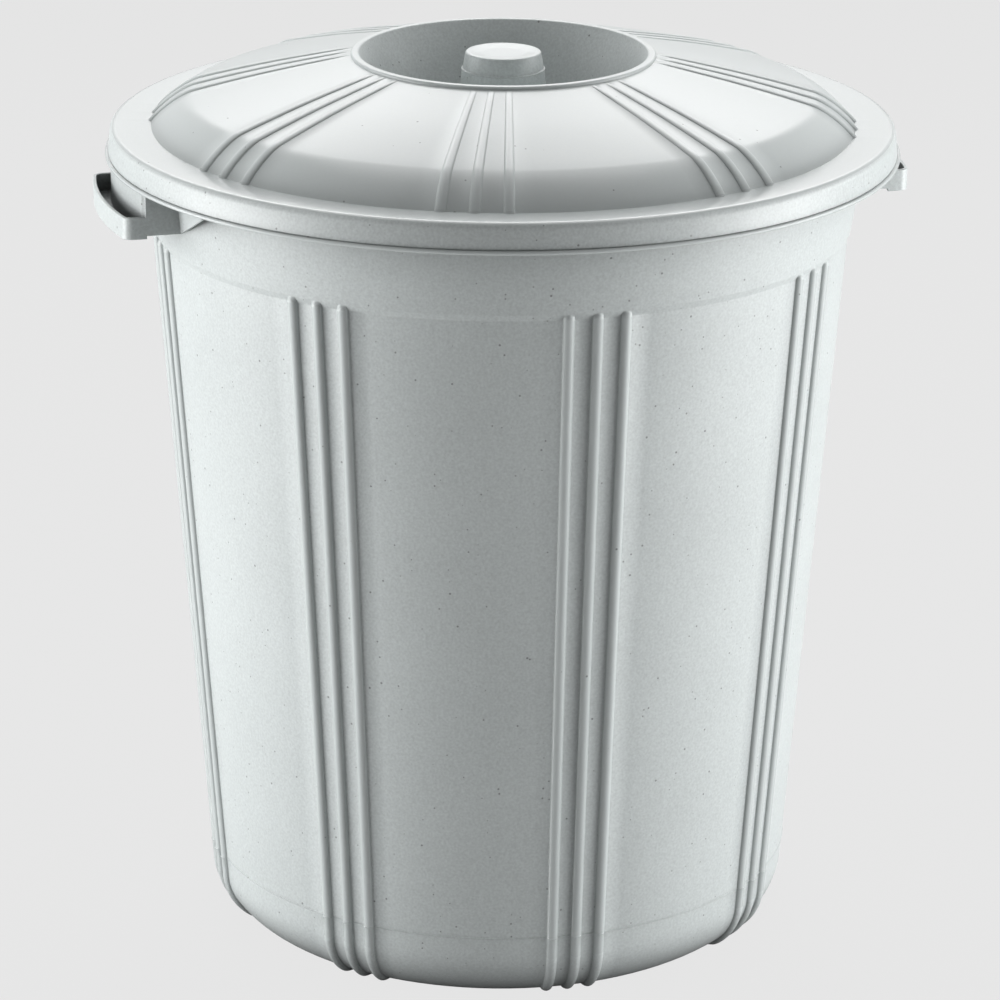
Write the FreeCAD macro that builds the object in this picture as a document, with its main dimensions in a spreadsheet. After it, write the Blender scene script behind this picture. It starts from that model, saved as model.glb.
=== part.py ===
import FreeCAD, Part
import math
import os
import re
import Sketcher

# Round household trash can: a ribbed bucket with two channel handles and a loose domed lid with a knob.
# Lengths in millimetres, angles in degrees. Z is up from the floor, and the handles lie along X.

SIZES = {
    # bucket wall, foot and collar
    "wall": 2.8,
    "base_radius": 184.7,
    "corner_radius": 38,
    "foot_recess": 3,
    "foot_width": 7,
    "wall_top_radius": 217.6,
    "wall_top_height": 461.5,
    "ledge_step": 2,
    "ledge_height": 4.2,
    "collar_flare": 7.4,
    "collar_height": 44.7,
    "mouth_flare": 2,
    # bucket rim, an upturned channel with a lip that the lid stands on
    "channel_width": 18.4,
    "lip_reach": 7.6,
    "lip_thickness": 2.7,
    "lip_round_share": 0.44,
    "leg_taper": 1.6,
    "rim_rise": 15.3,
    "rim_wall": 2.6,
    "rim_round_share": 0.7,
    # half-round ribs on the bucket
    "rib_radius": 3.3,
    "rib_turn_radius": 33,
    "rib_pitch": 4.6,
    # handles
    "handle_wall": 2.2,
    "grip_reach": 13.2,
    "grip_half_width": 56,
    "grip_drop": 29.1,
    "grip_depth": 13.9,
    "grip_corner": 5,
    "grip_edge_share": 0.8,
    "bracket_drop": 27.2,
    "gusset_inset": 12.2,
    "gusset_reach": 124,
    "seam_gap": 0.1,
    # lid
    "lid_wall": 2.3,
    "lid_play": 1.2,
    "lid_gap": 1,
    "lid_turn": -19.2,
    "brim_fall": 0.8,
    "brim_round": 4.5,
    "brim_width": 27.9,
    "shoulder_run": 9.2,
    "shoulder_rise": 13,
    "shoulder_round": 33,
    "shoulder_in_share": 0.62,
    "shoulder_down_share": 0.86,
    "haunch_out_share": 0.6,
    "haunch_down_share": 0.53,
    "haunch_round": 900,
    "crown_rise": 44,
    "bead_height": 2.7,
    "bead_width": 4.9,
    "bead_round_share": 0.7,
    "crater_radius": 91.1,
    "crater_depth": 46,
    "crater_floor_radius": 68,
    "crater_round": 16,
    "crater_out_share": 0.62,
    # half-round ribs on the lid, slim at the crater and full at the brim
    "lid_rib_slim": 2.5,
    "lid_rib_full": 3.7,
    "lid_rib_pitch": 4.4,
    "lid_rib_meet": 42,
    "lid_rib_start": 2.4,
    "lid_rib_tail_share": 0.25,
    # knob
    "knob_wall": 2.3,
    "knob_bore": 26.5,
    "knob_foot_radius": 29.6,
    "knob_ring_radius": 26,
    "knob_ring_drop": 10.3,
    "knob_ring_step": 0.6,
    "knob_ring_height": 0.8,
    "knob_top_radius": 23.7,
    "knob_top_round": 2.4,
    "knob_rim_width": 5,
    "knob_dish": 1.4,
    "knob_dish_run": 5,
    "knob_dish_round": 12,
    # how far every cutter runs past what it cuts
    "overrun": 2,
}

RIBS_PER_GROUP = 3
RIB_GROUPS = 8
FULL_TURN = 360
HALF_TURN = 180

# Places that several pieces share, as formulas of the sizes
LEDGE_RADIUS = "(wall_top_radius + ledge_step)"
LEDGE_HEIGHT = "(wall_top_height + ledge_height)"
COLLAR_RADIUS = f"({LEDGE_RADIUS} + collar_flare)"
LIP_HEIGHT = f"({LEDGE_HEIGHT} + collar_height)"
SEAT_HEIGHT = f"({LIP_HEIGHT} + lip_thickness)"
RIM_HEIGHT = f"({LIP_HEIGHT} + rim_rise)"
LEG_RADIUS = f"({COLLAR_RADIUS} + channel_width)"
LIP_RADIUS = f"({LEG_RADIUS} + lip_reach)"
GRIP_RADIUS = f"({LEG_RADIUS} + grip_reach)"
GRIP_FOOT = f"({LIP_HEIGHT} - grip_drop)"
BRACKET_FOOT = f"({LIP_HEIGHT} - bracket_drop)"
BRIM_HEIGHT = f"({RIM_HEIGHT} + lid_gap + lid_wall)"
BRIM_FOOT = f"({BRIM_HEIGHT} - brim_fall)"
SKIRT_RADIUS = f"({LEG_RADIUS} + lid_play + lid_wall)"
DOME_RADIUS = f"({SKIRT_RADIUS} - brim_width)"
SHOULDER_RADIUS = f"({DOME_RADIUS} - shoulder_run)"
SHOULDER_HEIGHT = f"({BRIM_FOOT} + shoulder_rise)"
CROWN_HEIGHT = f"({BRIM_HEIGHT} + crown_rise)"
CRATER_FLOOR = f"({CROWN_HEIGHT} - crater_depth)"
DOME_TOP_RADIUS = "(crater_radius + bead_width)"
DOME_TOP_HEIGHT = f"({CROWN_HEIGHT} - bead_height)"
HAUNCH_RADIUS = f"({DOME_TOP_RADIUS} + ({SHOULDER_RADIUS} - {DOME_TOP_RADIUS}) * haunch_out_share)"
HAUNCH_HEIGHT = f"({DOME_TOP_HEIGHT} - ({DOME_TOP_HEIGHT} - {SHOULDER_HEIGHT}) * haunch_down_share)"

doc = FreeCAD.newDocument("TrashCan")
sheet = doc.addObject("Spreadsheet::Sheet", "Sizes")
for row, (name, number) in enumerate(SIZES.items(), start=1):
    sheet.set(f"A{row}", name)
    sheet.set(f"B{row}", str(number))
    sheet.setAlias(f"B{row}", name)
doc.recompute()


def formula(text):
    """The formula with each size's word addressed in the sheet."""
    return re.sub(r"[a-z]\w*", lambda word: f"Sizes.{word[0]}" if word[0] in SIZES else word[0], text)


def number_of(text):
    return float(sheet.evalExpression(formula(text)))


def origin_of(body, role):
    return next(feature for feature in body.Origin.OriginFeatures if feature.Role == role)


def new_body(label):
    body = doc.addObject("PartDesign::Body", label)
    body.Label = label
    return body


def new_sketch(body, name, role, height=None):
    """A sketch on one of the body's own planes, lifted along the plane's normal where a height is given."""
    sketch = body.newObject("Sketcher::SketchObject", name)
    sketch.AttachmentSupport = [(origin_of(body, role), "")]
    sketch.MapMode = "FlatFace"
    if height:
        sketch.setExpression("AttachmentOffset.Base.z", formula(height))
    return sketch


def size_constraint(sketch, kind, text, *places):
    """A dimension that follows a formula of the sizes."""
    index = sketch.addConstraint(Sketcher.Constraint(kind, *places, number_of(text)))
    sketch.setExpression(f"Constraints[{index}]", formula(text))


def pin_point(sketch, element, end, across, up):
    """Holds a point of the sketch at a place given by two formulas."""
    if across == "0":
        sketch.addConstraint(Sketcher.Constraint("PointOnObject", element, end, -2))
    else:
        size_constraint(sketch, "DistanceX", across, -1, 1, element, end)
    if up == "0":
        sketch.addConstraint(Sketcher.Constraint("PointOnObject", element, end, -1))
    else:
        size_constraint(sketch, "DistanceY", up, -1, 1, element, end)


def draw_outline(sketch, corners, closed=True):
    """Straight runs between corners, each (across, up), or (across, up, radius) where rounded."""
    points = [FreeCAD.Vector(number_of(corner[0]), number_of(corner[1]), 0) for corner in corners]
    radii = [number_of(corner[2]) if len(corner) > 2 else 0 for corner in corners]
    count = len(corners)
    arrive = list(points)
    leave = list(points)
    for i in range(count):
        if not radii[i]:
            continue
        back = (points[i - 1] - points[i]).normalize()
        ahead = (points[(i + 1) % count] - points[i]).normalize()
        run = radii[i] / math.tan(back.getAngle(ahead) / 2)
        arrive[i] = points[i] + back * run
        leave[i] = points[i] + ahead * run
    runs = count if closed else count - 1
    lines = []
    for i in range(runs):
        segment = Part.LineSegment(leave[i], arrive[(i + 1) % count])
        lines.append(sketch.addGeometry(segment, False))
    for i, corner in enumerate(corners):
        before = lines[i - 1] if closed or i > 0 else None
        after = lines[i] if i < runs else None
        if before is None:
            pin_point(sketch, after, 1, *corner[:2])
        elif after is None:
            pin_point(sketch, before, 2, *corner[:2])
        elif radii[i]:
            inward = (arrive[i] + leave[i] - points[i] * 2).normalize()
            middle = points[i] + inward * bulge(points[i], arrive[i], radii[i])
            arc = sketch.addGeometry(Part.Arc(arrive[i], middle, leave[i]), False)
            first, last = arc_ends(sketch, arc, arrive[i])
            sketch.addConstraint(Sketcher.Constraint("Tangent", before, 2, arc, first))
            sketch.addConstraint(Sketcher.Constraint("Tangent", arc, last, after, 1))
            size_constraint(sketch, "Radius", corner[2], arc)
            tip = sketch.addGeometry(Part.Point(points[i]), True)
            sketch.addConstraint(Sketcher.Constraint("PointOnObject", tip, 1, before))
            sketch.addConstraint(Sketcher.Constraint("PointOnObject", tip, 1, after))
            pin_point(sketch, tip, 1, *corner[:2])
        else:
            sketch.addConstraint(Sketcher.Constraint("Coincident", before, 2, after, 1))
            pin_point(sketch, after, 1, *corner[:2])
    return sketch


def bulge(corner, touch, radius):
    """Distance from a corner to the middle of the arc that rounds it."""
    return math.hypot((touch - corner).Length, radius) - radius


def arc_ends(sketch, arc, start):
    """Which end of an arc of the sketch lies at the given point, then the other one."""
    at_first = sketch.getPoint(arc, 1).distanceToPoint(start) < sketch.getPoint(arc, 2).distanceToPoint(start)
    return (1, 2) if at_first else (2, 1)


def turned(body, kind, name, corners):
    """An outline in the XZ plane turned once round Z, added to the body or cut from it."""
    before = body.Shape.Volume if body.Tip else 0
    sketch = draw_outline(new_sketch(body, f"{name}Outline", "XZ_Plane"), corners)
    feature = body.newObject(f"PartDesign::{kind}", name)
    feature.Profile = sketch
    feature.ReferenceAxis = (origin_of(body, "Z_Axis"), [""])
    feature.Angle = FULL_TURN
    doc.recompute()
    gained = body.Shape.Volume - before
    if (gained > 0) != (kind == "Revolution"):
        raise RuntimeError(f"{name} changed the volume by {gained:.0f}")
    return feature


def rib_group(body, name, path, edges, start_radius, end_radius, pitch_axis, pitch):
    """A half-round rib swept along a path, rounded at its start, and repeated in groups round Z."""
    ends = [("Edge1", "Vertex1", start_radius), (f"Edge{edges}", f"Vertex{edges + 1}", end_radius)]
    rings = []
    for edge, vertex, radius in ends:
        ring = body.newObject("Sketcher::SketchObject", f"{name}{vertex}")
        ring.AttachmentSupport = [(path, edge), (path, vertex)]
        ring.MapMode = "NormalToEdge"
        round_form = Part.Circle(FreeCAD.Vector(), FreeCAD.Vector(0, 0, 1), number_of(radius))
        circle = ring.addGeometry(round_form, False)
        ring.addConstraint(Sketcher.Constraint("Coincident", circle, 3, -1, 1))
        size_constraint(ring, "Radius", radius, circle)
        rings.append(ring)
    doc.recompute()
    nose = body.newObject("PartDesign::AdditiveSphere", f"{name}Nose")
    nose.AttachmentSupport = [(path, "Edge1"), (path, "Vertex1")]
    nose.MapMode = "NormalToEdge"
    nose.setExpression("Radius", formula(start_radius))
    doc.recompute()
    rib = body.newObject("PartDesign::AdditivePipe", name)
    rib.Profile = rings[0]
    rib.Spine = (path, [f"Edge{i + 1}" for i in range(edges)])
    rib.Transformation = "Multisection"
    rib.Sections = [(rings[1], [""])]
    doc.recompute()
    pattern = body.newObject("PartDesign::MultiTransform", f"{name}Pattern")
    pattern.Originals = [nose, rib]
    within = body.newObject("PartDesign::PolarPattern", f"{name}Within")
    within.Axis = pitch_axis
    within.Occurrences = RIBS_PER_GROUP
    within.setExpression("Angle", formula(f"{RIBS_PER_GROUP - 1} * {pitch}"))
    around = body.newObject("PartDesign::PolarPattern", f"{name}Around")
    around.Axis = (origin_of(body, "Z_Axis"), [""])
    around.Occurrences = RIB_GROUPS
    around.Angle = FULL_TURN
    pattern.Transformations = [within, around]
    body.Tip = pattern
    doc.recompute()


def turn_sketch(sketch, angle, pivot):
    """Turns an upright sketch about a line parallel to Z that crosses the X axis at minus the pivot."""
    upright = FreeCAD.Rotation(FreeCAD.Vector(0, 1, 0), 1)
    sketch.AttachmentOffset = FreeCAD.Placement(FreeCAD.Vector(), upright)
    sketch.setExpression("AttachmentOffset.Rotation.Angle", formula(f"0 - {angle}"))
    sketch.setExpression("AttachmentOffset.Base.x", formula(f"{pivot} * (cos({angle} * 1 deg) - 1)"))
    sketch.setExpression("AttachmentOffset.Base.z", formula(f"{pivot} * sin({angle} * 1 deg)"))


# Bucket
def make_bucket():
    body = new_body("bucket")
    lip_round = "lip_thickness * lip_round_share"
    turned(body, "Revolution", "BucketForm", [
        ("0", "0"),
        ("base_radius", "0", "corner_radius"),
        ("wall_top_radius", "wall_top_height"),
        (LEDGE_RADIUS, LEDGE_HEIGHT),
        (COLLAR_RADIUS, LIP_HEIGHT),
        (LIP_RADIUS, LIP_HEIGHT, lip_round),
        (LIP_RADIUS, SEAT_HEIGHT, lip_round),
        (LEG_RADIUS, SEAT_HEIGHT),
        (f"{LEG_RADIUS} - leg_taper", RIM_HEIGHT, "rim_wall * rim_round_share"),
        ("0", RIM_HEIGHT),
    ])

    # Each rib follows the wall and sinks into the rounded foot
    sink = "(corner_radius - rib_turn_radius)"
    foot_radius = f"base_radius + (wall_top_radius - base_radius) * {sink} / wall_top_height"
    path = new_sketch(body, "RibPath", "XZ_Plane")
    turn_sketch(path, "rib_pitch", "0")
    draw_outline(path, [
        ("wall_top_radius", "wall_top_height"),
        (foot_radius, sink, "rib_turn_radius"),
        ("base_radius - corner_radius", sink),
    ], closed=False)
    doc.recompute()
    axis = (origin_of(body, "Z_Axis"), [""])
    rib_group(body, "Rib", path, 3, "rib_radius", "rib_radius", axis, "rib_pitch")

    floor = "(foot_recess + wall)"
    turned(body, "Groove", "Cavity", [
        ("0", floor),
        (f"base_radius - wall + (wall_top_radius - base_radius) * {floor} / wall_top_height", floor,
         "corner_radius - wall"),
        ("wall_top_radius - wall", "wall_top_height"),
        (f"{LEDGE_RADIUS} - wall", LEDGE_HEIGHT),
        (f"{COLLAR_RADIUS} - wall", LIP_HEIGHT),
        (f"{COLLAR_RADIUS} + mouth_flare - wall", RIM_HEIGHT),
        (f"{COLLAR_RADIUS} + mouth_flare - wall", f"{RIM_HEIGHT} + overrun"),
        ("0", f"{RIM_HEIGHT} + overrun"),
    ])
    channel_flare = "mouth_flare * (rim_rise - rim_wall) / rim_rise"
    channel_top = f"{RIM_HEIGHT} - rim_wall"
    channel_outside = f"{LEG_RADIUS} - rim_wall"
    turned(body, "Groove", "RimChannel", [
        (COLLAR_RADIUS, f"{LIP_HEIGHT} - overrun"),
        (COLLAR_RADIUS, LIP_HEIGHT),
        (f"{COLLAR_RADIUS} + {channel_flare}", channel_top),
        (f"{channel_outside} - leg_taper", channel_top),
        (channel_outside, SEAT_HEIGHT),
        (channel_outside, f"{LIP_HEIGHT} - overrun"),
    ])
    foot_inside = "base_radius - corner_radius - foot_width"
    turned(body, "Groove", "FootRecess", [
        ("0", "0 - overrun"),
        (foot_inside, "0 - overrun"),
        (foot_inside, "0"),
        (f"{foot_inside} - foot_recess", "foot_recess"),
        ("0", "foot_recess"),
    ])
    return body


# Handles
def draw_band(sketch, inner, outer, half_width):
    """The plan of a bowed bar across the X axis, between two arcs about Z and two straight ends."""
    half = number_of(half_width)
    arcs = []
    for radius in (inner, outer):
        reach = number_of(radius)
        along = math.sqrt(reach ** 2 - half ** 2)
        ends = FreeCAD.Vector(along, -half, 0), FreeCAD.Vector(reach, 0, 0), FreeCAD.Vector(along, half, 0)
        arc = sketch.addGeometry(Part.Arc(*ends), False)
        sketch.addConstraint(Sketcher.Constraint("Coincident", arc, 3, -1, 1))
        size_constraint(sketch, "Radius", radius, arc)
        size_constraint(sketch, "DistanceY", half_width, -1, 1, arc, 2)
        size_constraint(sketch, "DistanceY", half_width, arc, 1, -1, 1)
        arcs.append(arc)
    for end in (1, 2):
        segment = Part.LineSegment(sketch.getPoint(arcs[0], end), sketch.getPoint(arcs[1], end))
        line = sketch.addGeometry(segment, False)
        sketch.addConstraint(Sketcher.Constraint("Coincident", line, 1, arcs[0], end))
        sketch.addConstraint(Sketcher.Constraint("Coincident", line, 2, arcs[1], end))
    return sketch


def extruded(body, kind, name, sketch, length):
    """A sketch pulled up from its plane, added to the body or cut from it."""
    before = body.Shape.Volume if body.Tip else 0
    feature = body.newObject(f"PartDesign::{kind}", name)
    feature.Profile = sketch
    feature.Reversed = kind == "Pocket"
    feature.setExpression("Length", formula(length))
    doc.recompute()
    gained = body.Shape.Volume - before
    if (gained > 0) != (kind == "Pad"):
        raise RuntimeError(f"{name} changed the volume by {gained:.0f}")
    return feature


def mirrored(body, name, feature):
    """The same feature on the other side of the X axis."""
    mirror = body.newObject("PartDesign::Mirrored", name)
    mirror.Originals = [feature]
    mirror.MirrorPlane = (origin_of(body, "XZ_Plane"), [""])
    body.Tip = mirror
    doc.recompute()


def rounded_edges(body, name, radius, chosen):
    """A fillet along the edges that the test chooses."""
    base = body.Tip
    edges = [f"Edge{i + 1}" for i, edge in enumerate(base.Shape.Edges) if chosen(edge)]
    fillet = body.newObject("PartDesign::Fillet", name)
    fillet.Base = (base, edges)
    fillet.setExpression("Radius", formula(radius))
    doc.recompute()


def make_handle(label, turn):
    body = new_body(label)
    grip_top = f"({GRIP_FOOT} + grip_depth)"
    wall_outside = f"({LEG_RADIUS} + handle_wall)"
    gusset_place = f"{COLLAR_RADIUS} - gusset_inset"

    # Bowed grip, rounded at its outer corners and along its lower outer edge, with a trough from above
    plan = new_sketch(body, "GripPlan", "XY_Plane", GRIP_FOOT)
    draw_band(plan, LEG_RADIUS, GRIP_RADIUS, "grip_half_width")
    extruded(body, "Pad", "Grip", plan, "grip_depth")
    reach = number_of(GRIP_RADIUS)
    foot = number_of(GRIP_FOOT)
    near = number_of("handle_wall")

    def upright_outside(edge):
        box = edge.BoundBox
        return box.ZLength > near and math.hypot(box.Center.x, box.Center.y) > reach - near

    def low_outside(edge):
        box = edge.BoundBox
        on_edge = all(math.hypot(v.X, v.Y) > reach - number_of("grip_corner") for v in edge.Vertexes)
        return on_edge and box.ZMax < foot + near

    rounded_edges(body, "GripCorners", "grip_corner", upright_outside)
    rounded_edges(body, "GripEdge", "handle_wall * grip_edge_share", low_outside)
    hollow = new_sketch(body, "TroughPlan", "XY_Plane", f"{GRIP_FOOT} + handle_wall")
    draw_band(hollow, wall_outside, f"{GRIP_RADIUS} - handle_wall", "grip_half_width - handle_wall")
    extruded(body, "Pocket", "Trough", hollow, "grip_depth")

    # Back wall up to the underside of the lip
    back = new_sketch(body, "BackPlan", "XY_Plane", grip_top)
    draw_band(back, LEG_RADIUS, wall_outside, "grip_half_width")
    extruded(body, "Pad", "BackWall", back, f"{LIP_HEIGHT} - {grip_top}")

    # Web at each end from the collar to the back wall, and a gusset along the collar
    web_end = f"sqrt({LEG_RADIUS} * {LEG_RADIUS} - grip_half_width * grip_half_width)"
    inside = "(grip_half_width - handle_wall)"
    web = new_sketch(body, "WebPlan", "XY_Plane", BRACKET_FOOT)
    draw_outline(web, [
        (gusset_place, inside),
        (f"{web_end} + handle_wall", inside),
        (f"{web_end} + handle_wall", "grip_half_width"),
        (gusset_place, "grip_half_width"),
    ])
    mirrored(body, "WebFar", extruded(body, "Pad", "Web", web, "bracket_drop"))
    gusset = new_sketch(body, "GussetSide", "YZ_Plane", gusset_place)
    draw_outline(gusset, [
        (inside, BRACKET_FOOT),
        ("grip_half_width", BRACKET_FOOT),
        ("gusset_reach", LIP_HEIGHT),
        (inside, LIP_HEIGHT),
    ])
    mirrored(body, "GussetFar", extruded(body, "Pad", "Gusset", gusset, "handle_wall"))

    # Cut back to the flare of the collar
    below = f"{BRACKET_FOOT} - overrun"
    flare = "collar_flare * (bracket_drop + overrun) / collar_height"
    turned(body, "Groove", "CollarSeat", [
        ("0", below),
        (f"{COLLAR_RADIUS} - {flare} + seam_gap", below),
        (f"{COLLAR_RADIUS} + seam_gap", LIP_HEIGHT),
        (f"{COLLAR_RADIUS} + seam_gap", f"{LIP_HEIGHT} + overrun"),
        ("0", f"{LIP_HEIGHT} + overrun"),
    ])
    body.Placement = FreeCAD.Placement(FreeCAD.Vector(), FreeCAD.Rotation(FreeCAD.Vector(0, 0, 1), turn))
    return body


# Lid
def make_lid():
    body = new_body("lid")
    bead_round = "bead_height * bead_round_share"
    turned(body, "Revolution", "LidForm", [
        ("0", CRATER_FLOOR),
        ("crater_floor_radius", CRATER_FLOOR, "crater_round"),
        ("crater_radius", CROWN_HEIGHT, bead_round),
        (DOME_TOP_RADIUS, CROWN_HEIGHT, bead_round),
        (DOME_TOP_RADIUS, DOME_TOP_HEIGHT),
        (HAUNCH_RADIUS, HAUNCH_HEIGHT, "haunch_round"),
        (SHOULDER_RADIUS, SHOULDER_HEIGHT, "shoulder_round"),
        (DOME_RADIUS, BRIM_FOOT),
        (f"{SKIRT_RADIUS} - leg_taper", BRIM_HEIGHT, "brim_round"),
        (SKIRT_RADIUS, SEAT_HEIGHT),
        ("0", SEAT_HEIGHT),
    ])

    # Each rib runs down the dome from just outside the crater's bead and over the shoulder into the brim
    path = new_sketch(body, "RibPath", "XZ_Plane")
    turn_sketch(path, "lid_rib_pitch", "lid_rib_meet")
    slope = f"({DOME_TOP_HEIGHT} - {HAUNCH_HEIGHT}) / ({HAUNCH_RADIUS} - {DOME_TOP_RADIUS})"
    draw_outline(path, [
        (f"{DOME_TOP_RADIUS} + lid_rib_start", f"{DOME_TOP_HEIGHT} - lid_rib_start * {slope}"),
        (HAUNCH_RADIUS, HAUNCH_HEIGHT, "haunch_round"),
        (SHOULDER_RADIUS, SHOULDER_HEIGHT, "shoulder_round"),
        (f"{DOME_RADIUS} + shoulder_run * lid_rib_tail_share",
         f"{BRIM_FOOT} - shoulder_rise * lid_rib_tail_share"),
    ], closed=False)
    pivot = sketch_pivot(path, "lid_rib_meet")
    doc.recompute()
    rib_group(body, "Rib", path, 5, "lid_rib_slim", "lid_rib_full", (path, [pivot]), "lid_rib_pitch")

    skirt_inside = f"({SKIRT_RADIUS} - lid_wall)"
    under_shoulder = f"{SHOULDER_HEIGHT} - lid_wall * shoulder_down_share"
    under_dome = f"({DOME_TOP_HEIGHT} - lid_wall)"
    under_floor = f"({CRATER_FLOOR} - lid_wall)"
    turned(body, "Groove", "Underside", [
        ("0", f"{SEAT_HEIGHT} - overrun"),
        (skirt_inside, f"{SEAT_HEIGHT} - overrun"),
        (skirt_inside, SEAT_HEIGHT),
        (f"{skirt_inside} - leg_taper", f"{BRIM_HEIGHT} - lid_wall", "brim_round - lid_wall"),
        (f"{DOME_RADIUS} - lid_wall", f"{BRIM_FOOT} - lid_wall"),
        (f"{SHOULDER_RADIUS} - lid_wall * shoulder_in_share", under_shoulder, "shoulder_round - lid_wall"),
        (HAUNCH_RADIUS, f"{HAUNCH_HEIGHT} - lid_wall", "haunch_round"),
        (DOME_TOP_RADIUS, under_dome),
        ("crater_radius", under_dome),
        ("crater_floor_radius + lid_wall * crater_out_share", under_floor, "crater_round + lid_wall"),
        ("knob_bore", under_floor),
        ("knob_bore", f"{CRATER_FLOOR} + overrun"),
        ("0", f"{CRATER_FLOOR} + overrun"),
    ])
    body.setExpression("Placement.Rotation.Angle", formula("lid_turn"))
    return body


def sketch_pivot(sketch, reach):
    """An upright construction line beyond the axis, about which a group's ribs fan out."""
    foot = FreeCAD.Vector(-number_of(reach), 0, 0)
    line = sketch.addGeometry(Part.LineSegment(foot, foot + FreeCAD.Vector(0, number_of(reach), 0)), True)
    sketch.addConstraint(Sketcher.Constraint("Vertical", line))
    pin_point(sketch, line, 1, f"0 - {reach}", "0")
    size_constraint(sketch, "Distance", reach, line)
    return "Axis0"


# Knob
def make_knob():
    body = new_body("knob")
    ring_height = f"({CROWN_HEIGHT} - knob_ring_drop)"
    dish_edge = "(knob_top_radius - knob_rim_width)"
    turned(body, "Revolution", "KnobForm", [
        ("knob_bore", CRATER_FLOOR),
        ("knob_foot_radius", CRATER_FLOOR),
        ("knob_ring_radius", f"{ring_height} - knob_ring_height"),
        ("knob_ring_radius - knob_ring_step", ring_height),
        ("knob_top_radius", CROWN_HEIGHT, "knob_top_round"),
        (dish_edge, CROWN_HEIGHT),
        (f"{dish_edge} - knob_dish_run", f"{CROWN_HEIGHT} - knob_dish", "knob_dish_round"),
        ("0", f"{CROWN_HEIGHT} - knob_dish"),
        ("0", f"{CROWN_HEIGHT} - knob_dish - knob_wall"),
        ("knob_top_radius - knob_wall", f"{CROWN_HEIGHT} - knob_dish - knob_wall", "knob_top_round"),
    ])
    return body


pieces = [
    make_bucket(),
    make_handle("left_handle", HALF_TURN),
    make_handle("right_handle", 0),
    make_lid(),
    make_knob(),
]
doc.recompute()

for item in doc.Objects:
    if "Invalid" in item.State or "Error" in item.State:
        raise RuntimeError(f"{item.Label} failed: {item.State}")
os.makedirs("parts", exist_ok=True)
for piece in pieces:
    shape = piece.Shape
    if shape.isNull() or not shape.isValid() or len(shape.Solids) != 1:
        raise RuntimeError(f"{piece.Label} is not one sound solid")
for piece in pieces:
    piece.Shape.exportStep(f"parts/{piece.Label}.step")
    print(f"{piece.Label}: {piece.Shape.Volume / 1000:.1f} cm3")
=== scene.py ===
import math

import bmesh
import bpy
from mathutils import Matrix, Vector


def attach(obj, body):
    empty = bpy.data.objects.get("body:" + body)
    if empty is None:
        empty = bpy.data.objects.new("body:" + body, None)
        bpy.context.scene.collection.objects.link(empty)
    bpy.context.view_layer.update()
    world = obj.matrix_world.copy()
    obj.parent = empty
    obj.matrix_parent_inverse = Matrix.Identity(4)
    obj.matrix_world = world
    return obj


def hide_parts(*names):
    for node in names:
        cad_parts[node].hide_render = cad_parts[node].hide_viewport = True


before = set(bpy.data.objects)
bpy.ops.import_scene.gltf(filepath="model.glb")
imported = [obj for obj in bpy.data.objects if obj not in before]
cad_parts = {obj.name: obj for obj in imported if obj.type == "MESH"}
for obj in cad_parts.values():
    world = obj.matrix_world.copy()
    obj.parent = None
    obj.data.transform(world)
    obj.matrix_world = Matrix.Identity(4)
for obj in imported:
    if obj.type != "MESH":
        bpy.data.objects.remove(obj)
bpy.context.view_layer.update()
print("frame:", ", ".join(sorted(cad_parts)))

# every piece is drawn in millimetres and scaled to metres when it is finished


def wireProfile(corners):  # corners are (radius, height) or (radius, height, rounding, segments)
    bm = bmesh.new()
    spots = [bm.verts.new((corner[0], 0, corner[1])) for corner in corners]
    for spot, following in zip(spots, spots[1:]):
        bm.edges.new((spot, following))
    for spot, corner in zip(spots, corners):
        if len(corner) > 2:
            back, ahead = [edge.other_vert(spot).co - spot.co for edge in spot.link_edges]
            run = corner[2] / math.tan(back.angle(ahead) / 2)
            bmesh.ops.bevel(bm, geom=[spot], offset=run, offset_type="OFFSET", segments=corner[3],
                            profile=0.5, affect="VERTICES", material=-1, clamp_overlap=False)
    return bm


def walkWire(bm):  # the wire's points in order from its first one
    bm.verts.ensure_lookup_table()
    points = [bm.verts[0]]
    edge = points[0].link_edges[0]
    while edge:
        points.append(edge.other_vert(points[-1]))
        edge = next((other for other in points[-1].link_edges if other is not edge), None)
    return points


def divideRuns(bm, longest):  # no edge of the wire stays longer than this
    for edge in bm.edges[:]:
        cuts = int(edge.calc_length() / longest)
        if cuts:
            bmesh.ops.subdivide_edges(bm, edges=[edge], cuts=cuts)


def spinAtAngles(bm, angles):  # turns the wire through these angles in degrees
    start = Matrix.Rotation(math.radians(angles[0]), 3, "Z")
    bmesh.ops.rotate(bm, verts=bm.verts, cent=(0, 0, 0), matrix=start)
    last = bm.verts[:] + bm.edges[:]
    for here, there in zip(angles, angles[1:]):
        turn = bmesh.ops.spin(bm, geom=last, cent=(0, 0, 0), axis=(0, 0, 1),
                              angle=math.radians(there - here), steps=1, use_merge=False)
        last = turn["geom_last"]


def closeTurn(bm, count):  # repeats a sector round the axis and joins the copies
    sector = bm.verts[:] + bm.edges[:] + bm.faces[:]
    bmesh.ops.spin(bm, geom=sector, cent=(0, 0, 0), axis=(0, 0, 1), angle=math.radians(360 - 360 / count),
                   steps=count - 1, use_duplicate=True, use_merge=False)
    bmesh.ops.remove_doubles(bm, verts=bm.verts, dist=0.003)
    bmesh.ops.recalc_face_normals(bm, faces=bm.faces)


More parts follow.
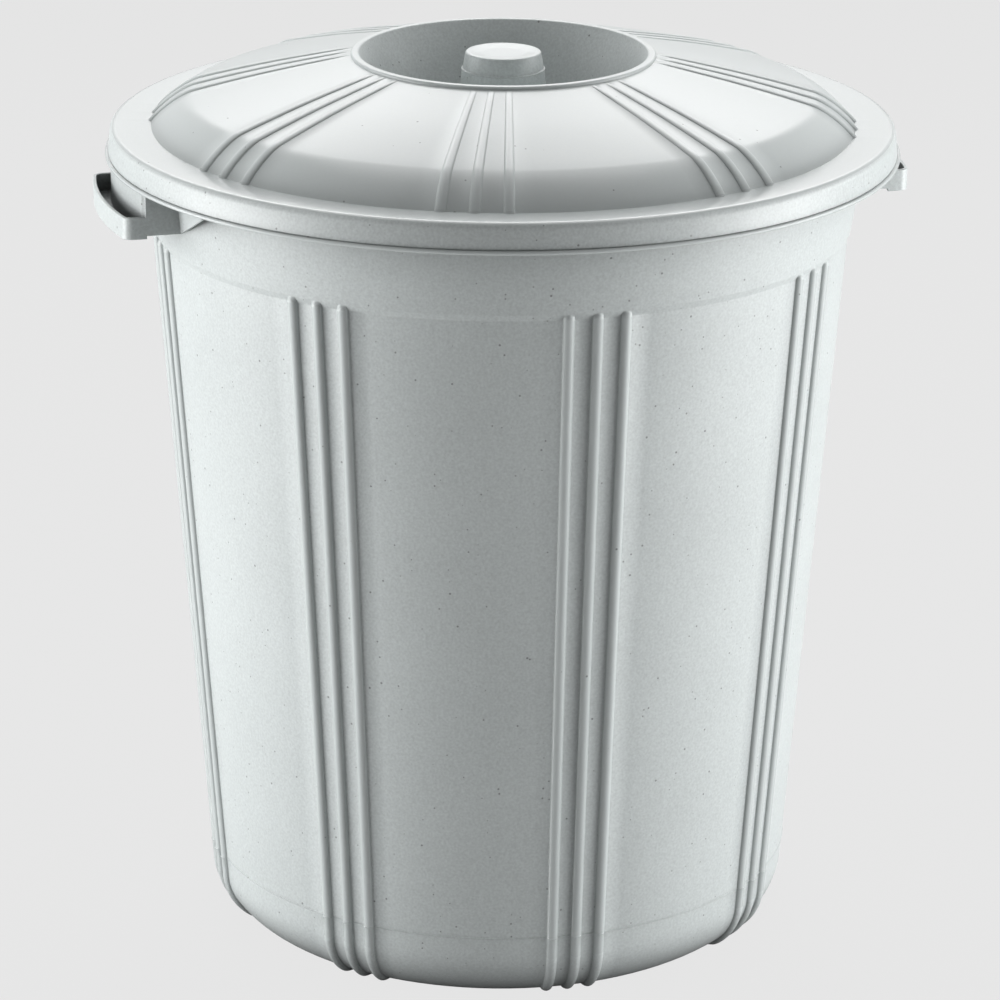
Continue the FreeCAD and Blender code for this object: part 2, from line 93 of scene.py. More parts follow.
def finishPiece(name, bm, finishes, body, node, sharpAngle):
    bmesh.ops.scale(bm, vec=(0.001, 0.001, 0.001), verts=bm.verts)
    mesh = bpy.data.meshes.new(name)
    bm.to_mesh(mesh)
    bm.free()
    for finish in finishes:
        mesh.materials.append(finish)
    mesh.shade_smooth()
    mesh.set_sharp_from_angle(angle=math.radians(sharpAngle))
    piece = bpy.data.objects.new(name, mesh)
    bpy.context.scene.collection.objects.link(piece)
    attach(piece, body)
    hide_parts(node)
    print(f"{name}: {len(mesh.polygons)} faces")
    return piece


# ribs in groups of three with a rounded section, and a small fillet where they meet the wall
ribShape = {"fillet": 0.08, "crown": (0, 18, 36, 54, 69, 80), "groups": 8}
ribFoot = math.sqrt(1 + 2 * ribShape["fillet"])  # all in rib radii
ribTouch = ribFoot / (1 + ribShape["fillet"])


def ribColumns():
    half = [math.sin(math.radians(angle)) for angle in ribShape["crown"]]
    half += [ribTouch, ribFoot]
    return sorted({-spot for spot in half} | set(half))


def ribHeight(spot):
    spot = abs(spot)
    if spot <= ribTouch:
        return math.sqrt(1 - spot * spot)
    if spot < ribFoot:
        fillet = ribShape["fillet"]
        return fillet - math.sqrt(fillet ** 2 - (ribFoot - spot) ** 2)
    return 0


def ribAngles(pitch, half, wideSteps):  # columns of one sector in degrees, from its middle rib
    group = []
    for rib in (-1, 0, 1):
        group += [rib * pitch + spot * half for spot in ribColumns()]
        if rib < 1:
            group.append((rib + 0.5) * pitch)
    edge, limit = group[-1], 180 / ribShape["groups"]
    side = [edge + (limit - edge) * step / wideSteps for step in range(1, wideSteps + 1)]
    return [-angle for angle in reversed(side)] + group + side


# finishes
def newGroup(name, inputs, outputs):
    group = bpy.data.node_groups.new(name, "ShaderNodeTree")
    for label, kind, value in inputs:
        group.interface.new_socket(name=label, in_out="INPUT", socket_type=kind).default_value = value
    for label, kind in outputs:
        group.interface.new_socket(name=label, in_out="OUTPUT", socket_type=kind)
    return group, group.nodes.new("NodeGroupInput"), group.nodes.new("NodeGroupOutput")


def math2(tree, operation, first, second):
    node = tree.nodes.new("ShaderNodeMath")
    node.operation = operation
    for socket, value in zip(node.inputs, (first, second)):
        if isinstance(value, (int, float)):
            socket.default_value = value
        else:
            tree.links.new(value, socket)
    return node.outputs[0]


def noise(tree, vector, scale, detail):
    node = tree.nodes.new("ShaderNodeTexNoise")
    node.inputs["Scale"].default_value = scale
    node.inputs["Detail"].default_value = detail
    tree.links.new(vector, node.inputs["Vector"])
    return node.outputs["Fac"]


grainSizes = {
    "fine": 620, "cloud": 11, "pebble": 1500, "cells": 190,  # scales, per metre
    "speckSize": 0.14, "speckDark": 0.55, "cloudShare": 0.3, "pebbleShare": 0.4, "fineShare": 0.6,
    "height": 0.0002,
}


def buildMouldedGrain():  # mottled moulding grain with sparse dark specks
    g = grainSizes
    group, given, made = newGroup("mouldedGrain", [
        ("Tone", "NodeSocketColor", (0.6, 0.64, 0.635, 1)),
        ("Mottle", "NodeSocketFloat", 0.06),
        ("Speck Share", "NodeSocketFloat", 0.3),
        ("Roughness", "NodeSocketFloat", 0.4),
        ("Roughness Spread", "NodeSocketFloat", 0.1),
    ], [("Color", "NodeSocketColor"), ("Roughness", "NodeSocketFloat"), ("Height", "NodeSocketFloat")])
    spot = group.nodes.new("ShaderNodeTexCoord").outputs["Object"]
    fine = noise(group, spot, g["fine"], 2)
    cloud = noise(group, spot, g["cloud"], 3)
    pebble = noise(group, spot, g["pebble"], 1)
    cells = group.nodes.new("ShaderNodeTexVoronoi")
    cells.inputs["Scale"].default_value = g["cells"]
    group.links.new(spot, cells.inputs["Vector"])
    chance = group.nodes.new("ShaderNodeSeparateColor")
    group.links.new(cells.outputs["Color"], chance.inputs["Color"])
    size = math2(group, "MULTIPLY", chance.outputs["Green"], g["speckSize"])
    dot = math2(group, "LESS_THAN", cells.outputs["Distance"], size)
    picked = math2(group, "LESS_THAN", chance.outputs["Red"], given.outputs["Speck Share"])
    speck = math2(group, "MULTIPLY", math2(group, "MULTIPLY", dot, picked), g["speckDark"])
    broad = math2(group, "MULTIPLY", math2(group, "SUBTRACT", cloud, 0.5), g["cloudShare"])
    swing = math2(group, "ADD", math2(group, "SUBTRACT", fine, 0.5), broad)
    shade = math2(group, "ADD", math2(group, "MULTIPLY", swing, given.outputs["Mottle"]), 1)
    shade = math2(group, "SUBTRACT", shade, speck)
    tint = group.nodes.new("ShaderNodeMix")
    tint.data_type = "RGBA"
    tint.blend_type = "MULTIPLY"
    tint.inputs["Factor"].default_value = 1
    grey = group.nodes.new("ShaderNodeCombineColor")
    for channel in grey.inputs:
        group.links.new(shade, channel)
    group.links.new(given.outputs["Tone"], tint.inputs["A"])
    group.links.new(grey.outputs["Color"], tint.inputs["B"])
    group.links.new(tint.outputs["Result"], made.inputs["Color"])
    rough = math2(group, "MULTIPLY", math2(group, "SUBTRACT", fine, 0.5), given.outputs["Roughness Spread"])
    group.links.new(math2(group, "ADD", rough, given.outputs["Roughness"]), made.inputs["Roughness"])
    pebbles = math2(group, "MULTIPLY", pebble, g["pebbleShare"])
    bumps = math2(group, "ADD", pebbles, math2(group, "MULTIPLY", fine, g["fineShare"]))
    group.links.new(bumps, made.inputs["Height"])
    return group


mouldedGrain = buildMouldedGrain()
# painted shade: recesses are darkened in the colour by an ambient occlusion probe, towards this dark tone
recessShadeSizes = {"reach": 0.04, "samples": 6, "recessShadeTone": (0.08, 0.085, 0.085, 1)}


def plasticFinish(name, look):
    finish = bpy.data.materials.new(name)
    finish.use_nodes = True
    tree = finish.node_tree
    shader = tree.nodes["Principled BSDF"]
    grain = tree.nodes.new("ShaderNodeGroup")
    grain.node_tree = mouldedGrain
    grain.inputs["Tone"].default_value = (*look["tone"], 1)
    grain.inputs["Mottle"].default_value = look["mottle"]
    grain.inputs["Speck Share"].default_value = look["specks"]
    grain.inputs["Roughness"].default_value = look["rough"]
    grain.inputs["Roughness Spread"].default_value = look["roughSpread"]
    occlusionShade = tree.nodes.new("ShaderNodeAmbientOcclusion")  # painted shade: ambient occlusion darkens the colour in narrow recesses where light is blocked
    occlusionShade.samples = recessShadeSizes["samples"]
    occlusionShade.inputs["Distance"].default_value = recessShadeSizes["reach"]
    depth = math2(tree, "POWER", occlusionShade.outputs["AO"], look["recessShade"])
    shadedRecess = tree.nodes.new("ShaderNodeMix")
    shadedRecess.data_type = "RGBA"
    shadedRecess.inputs["A"].default_value = recessShadeSizes["recessShadeTone"]
    tree.links.new(depth, shadedRecess.inputs["Factor"])
    tree.links.new(grain.outputs["Color"], shadedRecess.inputs["B"])
    tree.links.new(shadedRecess.outputs["Result"], shader.inputs["Base Color"])
    tree.links.new(grain.outputs["Roughness"], shader.inputs["Roughness"])
    bump = tree.nodes.new("ShaderNodeBump")
    bump.inputs["Strength"].default_value = look["bump"]
    bump.inputs["Distance"].default_value = grainSizes["height"]
    tree.links.new(grain.outputs["Height"], bump.inputs["Height"])
    tree.links.new(bump.outputs["Normal"], shader.inputs["Normal"])
    return finish


# each finish's last entry sets how strongly painted shade darkens its recesses
greyTone = (0.6, 0.64, 0.637)
satinGrey = plasticFinish("satinGrey", {
    "tone": greyTone, "mottle": 0.4, "specks": 0.6,
    "rough": 0.4, "roughSpread": 0.15, "bump": 0.25, "recessShade": 0.8})
silkGrey = plasticFinish("silkGrey", {
    "tone": greyTone, "mottle": 0.05, "specks": 0.1,
    "rough": 0.3, "roughSpread": 0.03, "bump": 0.01, "recessShade": 0.3})
glossGrey = plasticFinish("glossGrey", {
    "tone": greyTone, "mottle": 0.05, "specks": 0.1,
    "rough": 0.2, "roughSpread": 0.05, "bump": 0.03, "recessShade": 0.5})
print("finishes: satin, silk and gloss grey")


# bucket
bucketSizes = {
    "wall": 2.8, "baseRadius": 185.4, "cornerRadius": 38, "footRecess": 3, "footWidth": 7,
    "wallTopRadius": 219.6, "wallTop": 461.5, "ledgeRadius": 221.4, "ledgeTop": 465.7, "ledgeRound": 0.5,
    "collarRadius": 228.2, "lip": 510.4, "lipTop": 513.1, "lipRadius": 250.8, "lipRound": 1.34,
    "legRadius": 245.4, "legTopRadius": 243.8, "rimWall": 2.6, "rimTop": 525.7, "rimRound": 1.8,
    "mouthRadius": 227.4, "partingHeight": 49, "partingStep": 0.5,
    "ribRadius": 3, "ribWidth": 3.5, "ribPitch": 4.6, "ribTop": 462.3, "wideSteps": 5,
    "ribSink": 54, "ribFade": 20,  # in degrees down the foot's rounding
    "footRound": 0.8, "channelTaper": 1.6, "sharp": 40,
}


def buildBucket():
    b = bucketSizes
    slope = (b["wallTopRadius"] - b["baseRadius"]) / b["wallTop"]
    tilt = math.atan(slope)
    inside = b["footRecess"] + b["wall"]
    footInside = b["baseRadius"] - b["cornerRadius"] - b["footWidth"]
    parting = b["baseRadius"] + slope * b["partingHeight"]
    ledgeFoot = Vector((b["wallTopRadius"], b["wallTop"]))
    ledgeHead = Vector((b["ledgeRadius"], b["ledgeTop"]))
    ledgeSteps = [tuple(ledgeFoot.lerp(ledgeHead, step / 5)) for step in (1, 2, 3, 4)]  # for round rib tops
    bm = wireProfile([
        (0, b["footRecess"]),
        (footInside - b["footRecess"], b["footRecess"]),
        (footInside, 0, b["footRound"], 3),
        (b["baseRadius"], 0, b["cornerRadius"], 28),
        (parting, b["partingHeight"] - b["partingStep"]),
        (parting + b["partingStep"], b["partingHeight"]),
        (parting, b["partingHeight"] + b["partingStep"]),
        (b["wallTopRadius"], b["wallTop"], b["ledgeRound"], 3),
        *ledgeSteps,
        (b["ledgeRadius"], b["ledgeTop"], b["ledgeRound"], 3),
        (b["collarRadius"], b["lip"]),
        (b["collarRadius"] + b["channelTaper"], b["rimTop"] - b["rimWall"]),
        (b["legTopRadius"] - b["rimWall"], b["rimTop"] - b["rimWall"]),
        (b["legRadius"] - b["rimWall"], b["lip"]),
        (b["lipRadius"], b["lip"], b["lipRound"], 5),
        (b["lipRadius"], b["lipTop"], b["lipRound"], 5),
        (b["legRadius"], b["lipTop"]),
        (b["legTopRadius"], b["rimTop"], b["rimRound"], 4),
        (b["mouthRadius"], b["rimTop"], b["rimRound"], 4),
        (b["collarRadius"] - b["wall"], b["lip"]),
        (b["ledgeRadius"] - b["wall"], b["ledgeTop"], b["ledgeRound"], 2),
        (b["wallTopRadius"] - b["wall"], b["wallTop"], b["ledgeRound"], 2),
        (b["baseRadius"] - b["wall"] + slope * inside, inside, b["cornerRadius"] - b["wall"], 12),
        (0, inside),
    ])
    ribHalf = math.degrees(b["ribWidth"] / (b["baseRadius"] + slope * b["wallTop"] / 2))
    spinAtAngles(bm, ribAngles(b["ribPitch"], ribHalf, b["wideSteps"]))

    cornerMiddle = b["baseRadius"] + slope * b["cornerRadius"] - b["cornerRadius"] / math.cos(tilt)
    cornerTop = b["cornerRadius"] * (1 - math.sin(tilt))
    for vert in bm.verts:
        radius, height = math.hypot(vert.co.x, vert.co.y), vert.co.z
        if height > b["ledgeTop"] or radius < cornerMiddle:
            continue
        if height > cornerTop and radius < b["baseRadius"] + slope * height - 1:
            continue
        outward = (math.cos(tilt), -math.sin(tilt))
        depth = 0
        if height < cornerTop:  # on the rounded foot, where the rib sinks away
            across, down = radius - cornerMiddle, b["cornerRadius"] - height
            reach = math.hypot(across, down)
            if reach < b["cornerRadius"] - b["wall"] / 2:
                continue
            outward = (across / reach, -down / reach)
            sunk = (math.degrees(math.atan2(down, across)) - b["ribSink"]) / b["ribFade"]
            sunk = max(0, min(1, sunk))
            depth = b["ribRadius"] * sunk * sunk * (3 - 2 * sunk)
            if sunk == 1:
                continue
        angle = math.degrees(math.atan2(vert.co.y, vert.co.x))
        rib = max(-1, min(1, round(angle / b["ribPitch"])))
        centre = rib * b["ribPitch"]
        spot = (angle - centre) / ribHalf
        if abs(spot) > ribFoot + 0.001:
            continue
        squeeze = math.sqrt(1 - (depth / b["ribRadius"]) ** 2) if depth > 0 else 1
        if height > b["ribTop"]:  # rounded top of the rib against the ledge
            rise = (height - b["ribTop"]) / b["ribWidth"]
            swell = math.sqrt(max(0, 1 - rise ** 2 - spot ** 2)) * b["ribRadius"]
            lift = max(0, b["wallTopRadius"] + swell - radius)
        else:
            lift = max(0, ribHeight(spot * squeeze) * b["ribRadius"] - depth)
        turn = math.radians(centre) + spot * squeeze * b["ribWidth"] / radius
        radius += lift * outward[0]
        vert.co = (radius * math.cos(turn), radius * math.sin(turn), height + lift * outward[1])
    closeTurn(bm, ribShape["groups"])
    for face in bm.faces:  # ribs and lip are worn smoother than the wall
        spot = face.calc_center_median()
        radius = math.hypot(spot.x, spot.y)
        proud = radius - b["baseRadius"] - slope * spot.z
        onRib = proud > 0.3 and b["cornerRadius"] < spot.z < b["wallTop"]
        face.material_index = 1 if onRib or radius > b["lipRadius"] - b["lipRound"] else 0
    finishPiece("bucketShell", bm, [satinGrey, glossGrey], "bucket", "bucket", b["sharp"])


# lid
lidSizes = {
    "wall": 2.3, "skirtRadius": 248.9, "skirtTaper": 1.6, "seat": 513.1, "brimTop": 529, "brimFoot": 528.2,
    "brimRound": 4.5, "domeRadius": 221.6, "shoulderRadius": 208.8, "shoulder": 543.4, "shoulderRound": 64,
    "haunchRadius": 165.8, "haunch": 555.8, "haunchRound": 900,
    "domeTopRadius": 96, "domeTop": 570.9, "craterRadius": 91.1, "crown": 573, "beadRound": 1.4,
    "craterFloor": 527, "craterFloorRadius": 68, "craterRound": 16, "bore": 26.5,
    "turn": -19.2, "ribSlim": 2, "ribFull": 3.5, "ribRise": 0.46,
    "ribPitch": 4.4, "ribMeet": 42, "ribStart": 98.4,
    "nominalPitch": 5.6, "nominalHalf": 1.3, "wideSteps": 5,
    "skirtRound": 0.4, "shoulderIn": 1.4, "shoulderDown": 2, "craterOut": 1.4, "longest": 12, "sharp": 32,
}


def fanAngle(b, relative, radius):  # a column's angle at this radius, and its place across a rib
    radius = max(b["domeTopRadius"], min(b["domeRadius"], radius))
    reach = radius + b["ribMeet"]
    lean = math.radians(b["ribPitch"])
    pitch = math.degrees(math.atan2(reach * math.sin(lean), reach * math.cos(lean) - b["ribMeet"]))
    share = (radius - b["ribStart"]) / (b["domeRadius"] - b["ribStart"])
    ribRadius = b["ribSlim"] + (b["ribFull"] - b["ribSlim"]) * max(0, share)
    half = math.degrees(ribRadius / radius)
    rib = max(-1, min(1, round(relative / b["nominalPitch"])))
    spot = (relative - rib * b["nominalPitch"]) / b["nominalHalf"]
    if abs(spot) <= ribFoot + 0.001:
        return rib * pitch + spot * half, spot, ribRadius
    side = 1 if spot > 0 else -1
    nearNominal = rib * b["nominalPitch"] + side * ribFoot * b["nominalHalf"]
    near = rib * pitch + side * ribFoot * half
    if rib * side < 1:  # between two ribs of a group
        farNominal = (rib + side) * b["nominalPitch"] - side * ribFoot * b["nominalHalf"]
        far = (rib + side) * pitch - side * ribFoot * half
    else:
        farNominal = far = side * 180 / ribShape["groups"]
    fraction = (relative - nearNominal) / (farNominal - nearNominal)
    return near + fraction * (far - near), None, ribRadius


def buildLid():
    b = lidSizes
    under = b["craterFloor"] - b["wall"]
    skirtInside = b["skirtRadius"] - b["wall"]
    bm = wireProfile([
        (b["bore"], b["craterFloor"]),
        (b["craterFloorRadius"], b["craterFloor"], b["craterRound"], 14),
        (b["craterRadius"], b["crown"], b["beadRound"], 5),
        (b["domeTopRadius"], b["crown"], b["beadRound"], 5),
        (b["domeTopRadius"], b["domeTop"]),
        (b["haunchRadius"], b["haunch"], b["haunchRound"], 6),
        (b["shoulderRadius"], b["shoulder"], b["shoulderRound"], 18),
        (b["domeRadius"], b["brimFoot"]),
        (b["skirtRadius"] - b["skirtTaper"], b["brimTop"], b["brimRound"], 8),
        (b["skirtRadius"], b["seat"], b["skirtRound"], 3),
        (skirtInside, b["seat"], b["skirtRound"], 2),
        (skirtInside - b["skirtTaper"], b["brimTop"] - b["wall"], b["brimRound"] - b["wall"], 4),
        (b["domeRadius"] - b["wall"], b["brimFoot"] - b["wall"]),
        (b["shoulderRadius"] - b["shoulderIn"], b["shoulder"] - b["shoulderDown"],
         b["shoulderRound"] - b["wall"], 10),
        (b["haunchRadius"], b["haunch"] - b["wall"], b["haunchRound"], 4),
        (b["domeTopRadius"], b["domeTop"] - b["wall"]),
        (b["craterRadius"], b["domeTop"] - b["wall"]),
        (b["craterFloorRadius"] + b["craterOut"], under, b["craterRound"] + b["wall"], 8),
        (b["bore"], under),
        (b["bore"], b["craterFloor"]),
    ])
    divideRuns(bm, b["longest"])
    outward = bm.verts.layers.float_vector.new("outward")  # which way a rib rises, on the dome only
    points = walkWire(bm)
    for before, spot, after in zip(points, points[1:], points[2:]):
        radius, height = spot.co.x, spot.co.z
        run = after.co - before.co
        if run.x > 0 > run.z and b["domeTopRadius"] < radius < b["domeRadius"]:
            spot[outward] = Vector((-run.z, 0, run.x)).normalized()
        elif abs(radius - b["domeRadius"]) + abs(height - b["brimFoot"]) < 0.01:
            tail = Vector((b["domeRadius"] - b["shoulderRadius"], b["shoulder"] - b["brimFoot"]))
            spot[outward] = (1 / tail.normalized().y, 0, 0)  # the rib's foot slides out along the brim
    bmesh.ops.remove_doubles(bm, verts=bm.verts, dist=0.001)
    spinAtAngles(bm, ribAngles(b["nominalPitch"], b["nominalHalf"], b["wideSteps"]))
    for vert in bm.verts:
        radius, height = math.hypot(vert.co.x, vert.co.y), vert.co.z
        angle = math.degrees(math.atan2(vert.co.y, vert.co.x))
        relative, spot, ribRadius = fanAngle(b, angle, radius)
        lift = 0
        if spot is not None:
            lift = ribHeight(spot) * ribRadius
            before = b["ribStart"] - radius
            if before > 0:  # rounded nose beside the bead
                lift = math.sqrt(max(0, ribRadius ** 2 - before ** 2 - (spot * ribRadius) ** 2))
        lift *= b["ribRise"]
        turn = math.radians(b["turn"] + relative)
        radius += lift * vert[outward].x
        vert.co = (radius * math.cos(turn), radius * math.sin(turn), height + lift * vert[outward].z)
    closeTurn(bm, ribShape["groups"])
    for face in bm.faces:  # the dome is silky, the brim polished and the rest satin
        spot = face.calc_center_median()
        radius = math.hypot(spot.x, spot.y)
        outside = face.normal.z > -0.3 and spot.z > b["brimFoot"] - 0.4
        if outside and b["craterRadius"] + 2 < radius < b["skirtRadius"] - 2:
            face.material_index = 1 if radius < b["domeRadius"] + 0.5 or spot.z > b["brimTop"] + 0.2 else 2
    finishPiece("lidShell", bm, [satinGrey, silkGrey, glossGrey], "lid", "lid", b["sharp"])


# knob
knobSizes = {
    "wall": 2.3, "foot": 527, "crown": 573, "bore": 26.5, "footRadius": 29.6,
    "ringRadius": 26, "ring": 562.7, "ringHeight": 0.6, "ringStep": 0.5, "ringRound": 0.2,
    "topRadius": 23.7, "topRound": 1.3, "dishRadius": 20.5, "dish": 1.2,
    "dishEdge": 3, "dishRun": 7, "dishRound": 12, "columnStep": 3, "sectors": 8, "sharp": 40,
}


def buildKnob():
    b = knobSizes
    bm = wireProfile([
        (b["bore"], b["foot"]),
        (b["footRadius"], b["foot"]),
        (b["ringRadius"], b["ring"] - 2 * b["ringHeight"]),
        (b["ringRadius"] + b["ringStep"], b["ring"] - b["ringHeight"], b["ringRound"], 3),
        (b["ringRadius"] - b["ringStep"], b["ring"]),
        (b["topRadius"], b["crown"], b["topRound"], 8),
        (b["dishRadius"], b["crown"], b["dishEdge"], 5),
        (b["dishRadius"] - b["dishRun"], b["crown"] - b["dish"], b["dishRound"], 6),
        (0, b["crown"] - b["dish"]),
        (0, b["crown"] - b["dish"] - b["wall"]),
        (b["topRadius"] - b["wall"], b["crown"] - b["dish"] - b["wall"], b["topRound"], 4),
        (b["bore"], b["foot"]),
    ])
    bmesh.ops.remove_doubles(bm, verts=bm.verts, dist=0.001)
    columns = 360 // b["sectors"] // b["columnStep"]
    spinAtAngles(bm, [step * b["columnStep"] for step in range(columns + 1)])
    closeTurn(bm, b["sectors"])
    for face in bm.faces:  # the dished top is smoother
        onTop = face.normal.z > 0.5 and face.calc_center_median().z > b["ring"] + 2
        face.material_index = 1 if onTop else 0
    finishPiece("knobShell", bm, [satinGrey, silkGrey], "lid", "knob", b["sharp"])


# handles
handleSizes = {
    "wall": 2.2, "innerRadius": 245.3, "outerRadius": 258.6, "halfWidth": 56, "foot": 481.3, "depth": 13.9,
    "corner": 5, "lip": 510.4, "webFoot": 483.2, "webStart": 216.1, "gussetReach": 124, "columns": 20,
    "edgeRound": 0.5, "edgeAngle": 40, "rooting": 1.6, "rootSpread": 0.4, "sharp": 30,
}


def newPoints(made):  # the points that an extrusion made
    return [part for part in made["geom"] if isinstance(part, bmesh.types.BMVert)]


def addBlock(bm, low, high):
    middle = (Vector(low) + Vector(high)) / 2
    size = Vector(high) - Vector(low)
    place = Matrix.Translation(middle) @ Matrix.Diagonal((*size, 1))
    bmesh.ops.create_cube(bm, size=1, matrix=place)


def buildHandle(name, node, turn):
    b = handleSizes
    bm = bmesh.new()
    ends = [bm.verts.new((radius, 0, b["foot"])) for radius in (b["innerRadius"], b["outerRadius"])]
    bm.edges.new(ends)
    half = math.degrees(math.asin(b["halfWidth"] / b["innerRadius"]))
    start = Matrix.Rotation(-math.radians(half), 3, "Z")
    bmesh.ops.rotate(bm, verts=bm.verts, cent=(0, 0, 0), matrix=start)
    bmesh.ops.spin(bm, geom=bm.verts[:] + bm.edges[:], cent=(0, 0, 0), axis=(0, 0, 1),
                   angle=math.radians(2 * half), steps=b["columns"], use_merge=False)
    for vert in bm.verts:  # the ends of the grip are straight across
        radius = math.hypot(vert.co.x, vert.co.y)
        share = math.degrees(math.atan2(vert.co.y, vert.co.x)) / half
        angle = share * math.asin(b["halfWidth"] / radius)
        vert.co.xy = radius * math.cos(angle), radius * math.sin(angle)
    grown = bmesh.ops.extrude_face_region(bm, geom=bm.faces[:])
    bmesh.ops.translate(bm, vec=(0, 0, b["depth"]), verts=newPoints(grown))
    bmesh.ops.recalc_face_normals(bm, faces=bm.faces)

    def isCorner(edge):
        spot = (edge.verts[0].co + edge.verts[1].co) / 2
        upright = abs(edge.verts[0].co.z - edge.verts[1].co.z) > 1
        atEnd = abs(spot.y) > b["halfWidth"] - 0.1
        return upright and atEnd and math.hypot(spot.x, spot.y) > b["outerRadius"] - 1

    gripCorners = [edge for edge in bm.edges if isCorner(edge)]
    bmesh.ops.bevel(bm, geom=gripCorners, offset=b["corner"], offset_type="OFFSET", segments=7,
                    profile=0.5, affect="EDGES", material=-1, clamp_overlap=False)
    top = [face for face in bm.faces if face.normal.z > 0.9]
    bmesh.ops.inset_region(bm, faces=top, thickness=b["wall"], use_even_offset=True, use_boundary=True)
    sunk = bmesh.ops.extrude_face_region(bm, geom=top)
    bmesh.ops.translate(bm, vec=(0, 0, b["wall"] - b["depth"]), verts=newPoints(sunk))
    bmesh.ops.delete(bm, geom=[face for face in top if face.is_valid], context="FACES")

    def isBackRim(face):
        spot = face.calc_center_median()
        level = abs(spot.z - b["foot"] - b["depth"]) < 0.01
        return level and math.hypot(spot.x, spot.y) < b["innerRadius"] + b["wall"]

    back = [face for face in bm.faces if isBackRim(face)]
    raised = bmesh.ops.extrude_face_region(bm, geom=back)
    bmesh.ops.translate(bm, vec=(0, 0, b["lip"] - b["foot"] - b["depth"]), verts=newPoints(raised))
    bmesh.ops.delete(bm, geom=[face for face in back if face.is_valid], context="FACES")

    webEnd = math.sqrt(b["innerRadius"] ** 2 - b["halfWidth"] ** 2) + b["wall"] / 2
    for side in (-1, 1):
        inner, outer = side * (b["halfWidth"] - b["wall"]), side * b["halfWidth"]
        low = (b["webStart"], min(inner, outer), b["webFoot"])
        high = (webEnd, max(inner, outer), b["lip"])
        addBlock(bm, low, high)
        near, far = outer - side, side * b["gussetReach"]
        corners = [(near, b["webFoot"]), (far, b["lip"]), (near, b["lip"])]
        plate = bm.faces.new([bm.verts.new((b["webStart"], across, up)) for across, up in corners])
        thick = bmesh.ops.extrude_face_region(bm, geom=[plate])
        bmesh.ops.translate(bm, vec=(b["wall"], 0, 0), verts=newPoints(thick))
    rise = bucketSizes["lip"] - bucketSizes["ledgeTop"]
    flare = (bucketSizes["collarRadius"] - bucketSizes["ledgeRadius"]) / rise
    for vert in bm.verts:  # webs and gussets end inside the collar's wall
        least = bucketSizes["ledgeRadius"] + flare * (vert.co.z - bucketSizes["ledgeTop"]) - b["rooting"]
        least += (vert.co.x - b["webStart"]) * b["rootSpread"]  # the plates keep some thickness
        radius = math.hypot(vert.co.x, vert.co.y)
        if radius < least:
            vert.co.xy *= least / radius
    place = Matrix.Rotation(math.radians(turn), 3, "Z")
    bmesh.ops.rotate(bm, verts=bm.verts, cent=(0, 0, 0), matrix=place)
    bmesh.ops.recalc_face_normals(bm, faces=bm.faces)
    piece = finishPiece(name, bm, [satinGrey], "bucket", node, b["sharp"])
    soften = piece.modifiers.new("soften", "BEVEL")
    soften.width = b["edgeRound"] * 0.001
    soften.segments = 2
    soften.limit_method = "ANGLE"
    soften.angle_limit = math.radians(b["edgeAngle"])


buildBucket()
buildLid()
buildKnob()
buildHandle("handleLeft", "left_handle", 180)
buildHandle("handleRight", "right_handle", 0)


# stage, lights and camera, set out in the camera's own directions
stageSizes = {
    "turn": -15, "floor": 6, "background": 0.791, "ambient": 0.13,
    "floorTone": 0.5, "floorRough": 0.9, "floorShade": 0.045, "floorGlow": 0.808,
}


def stagePoint(right, away, up):
    return Matrix.Rotation(math.radians(stageSizes["turn"]), 3, "Z") @ Vector((right, away, up))


def softbox(name, place, aim, width, height, watts):  # sizes in metres
    lamp = bpy.data.lights.new(name, "AREA")
    lamp.shape = "RECTANGLE"
    lamp.size = width
    lamp.size_y = height
    lamp.energy = watts
    holder = bpy.data.objects.new(name, lamp)
    bpy.context.scene.collection.objects.link(holder)
    spot = stagePoint(*place)
    facing = (stagePoint(*aim) - spot).to_track_quat("-Z", "Y").to_matrix().to_4x4()
    holder.matrix_world = Matrix.Translation(spot) @ facing


for side in (-1, 1):
    softbox("boxLow", (side * 1.46, -0.36, 0.25), (0, 0, 0.25), 1, 0.45, 15.2)
    softbox("boxHigh", (side * 1.5, 0.05, 0.75), (0, 0, 0.75), 1, 0.45, 7.4)
backArc = {  # an arc of strips behind, brightest half way up
    "watts": (2.8, 5.3, 12, 9.2, 4.6, 5.4, 5.4), "start": 14.5, "step": 9.5,
    "reach": 2.4, "middle": 0.55, "width": 2, "height": 0.4,
}
for step, watts in enumerate(backArc["watts"]):
    rise = math.radians(backArc["start"] + backArc["step"] * step)
    away = backArc["reach"] * math.cos(rise)
    height = backArc["middle"] + backArc["reach"] * math.sin(rise)
    aim = (0, 0, backArc["middle"])
    softbox("boxBack", (0, away, height), aim, backArc["width"], backArc["height"], watts)
softbox("boxTop", (0, 0.3, 2.5), (0, 0, 0.55), 1.6, 0.8, 4.5)


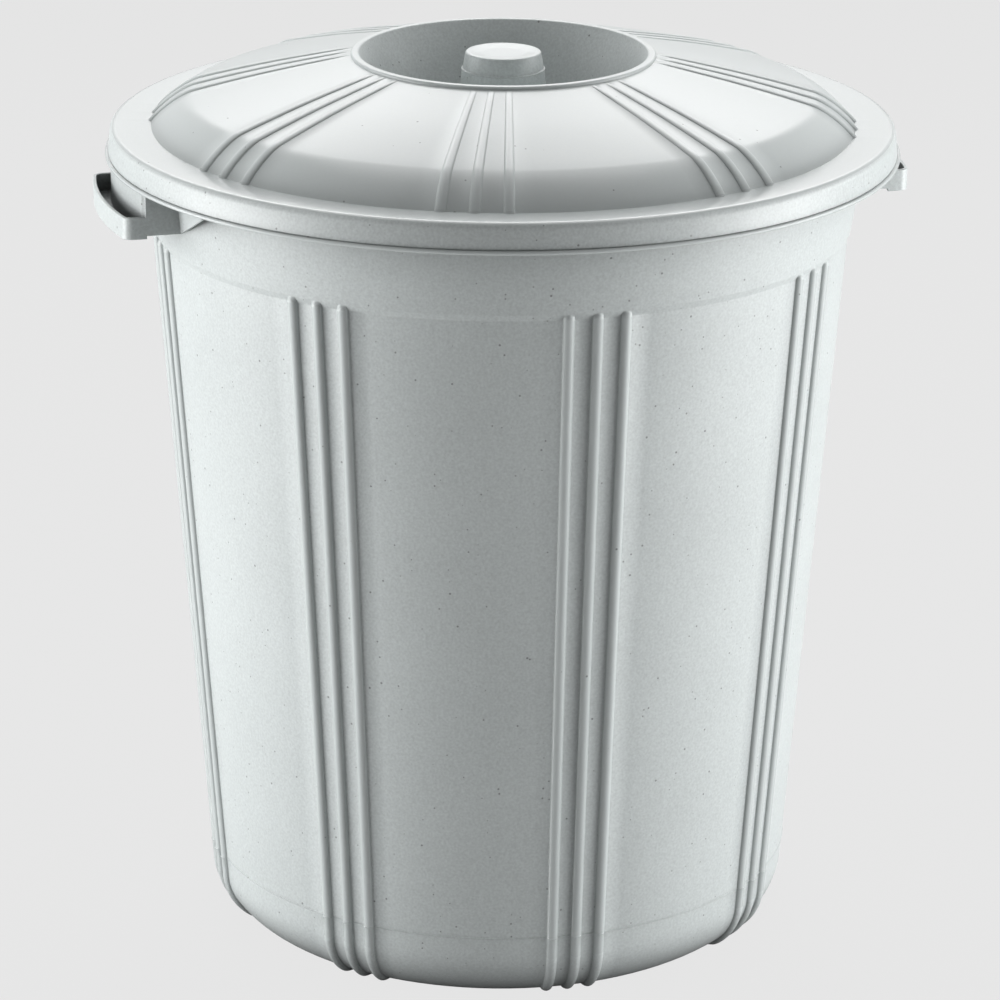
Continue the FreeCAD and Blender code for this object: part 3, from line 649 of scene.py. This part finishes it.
def buildStage():
    s = stageSizes
    world = bpy.data.worlds.new("studio")
    bpy.context.scene.world = world
    world.use_nodes = True
    tree = world.node_tree
    backdrop = tree.nodes["Background"]
    rays = tree.nodes.new("ShaderNodeLightPath")
    seen = math2(tree, "ADD", rays.outputs["Is Camera Ray"], rays.outputs["Is Glossy Ray"])
    seen = math2(tree, "MINIMUM", math2(tree, "ADD", seen, rays.outputs["Is Transmission Ray"]), 1)
    backdrop.inputs["Color"].default_value = (1, 1, 1, 1)
    strength = math2(tree, "MULTIPLY", seen, s["background"] - s["ambient"])
    tree.links.new(math2(tree, "ADD", strength, s["ambient"]), backdrop.inputs["Strength"])

    bm = bmesh.new()
    bmesh.ops.create_grid(bm, x_segments=1, y_segments=1, size=s["floor"])
    mesh = bpy.data.meshes.new("studioFloor")
    bm.to_mesh(mesh)
    bm.free()
    floor = bpy.data.objects.new("studioFloor", mesh)
    bpy.context.scene.collection.objects.link(floor)
    paint = bpy.data.materials.new("floorPaint")
    paint.use_nodes = True
    tree = paint.node_tree
    matt = tree.nodes["Principled BSDF"]
    matt.inputs["Base Color"].default_value = (s["floorTone"],) * 3 + (1,)
    matt.inputs["Roughness"].default_value = s["floorRough"]
    glow = tree.nodes.new("ShaderNodeEmission")
    glow.inputs["Color"].default_value = (s["floorGlow"],) * 3 + (1,)
    rays = tree.nodes.new("ShaderNodeLightPath")
    blend = tree.nodes.new("ShaderNodeMixShader")
    glowing = math2(tree, "MULTIPLY", rays.outputs["Is Camera Ray"], 1 - s["floorShade"])
    tree.links.new(glowing, blend.inputs["Fac"])
    tree.links.new(matt.outputs[0], blend.inputs[1])
    tree.links.new(glow.outputs[0], blend.inputs[2])
    tree.links.new(blend.outputs[0], tree.nodes["Material Output"].inputs["Surface"])
    mesh.materials.append(paint)


buildStage()

cameraSizes = {
    "place": (-0.6846, -2.5522, 1.1905), "turn": -15.009, "fall": 19.12, "roll": 0.366,
    "lens": 154.7, "sensor": 36,
}


def buildCamera():
    c = cameraSizes
    lens = bpy.data.cameras.new("photoCamera")
    lens.sensor_width = c["sensor"]
    lens.lens = c["lens"]
    camera = bpy.data.objects.new("photoCamera", lens)
    bpy.context.scene.collection.objects.link(camera)
    turn = Matrix.Rotation(math.radians(c["turn"]), 4, "Z")
    fall = Matrix.Rotation(math.radians(90 - c["fall"]), 4, "X")
    roll = Matrix.Rotation(math.radians(c["roll"]), 4, "Z")
    camera.matrix_world = Matrix.Translation(c["place"]) @ turn @ fall @ roll
    bpy.context.scene.camera = camera


buildCamera()
print(f"stage: floor, camera and {len(bpy.data.lights)} lamps")
bpy.context.scene.view_settings.view_transform = "Standard"
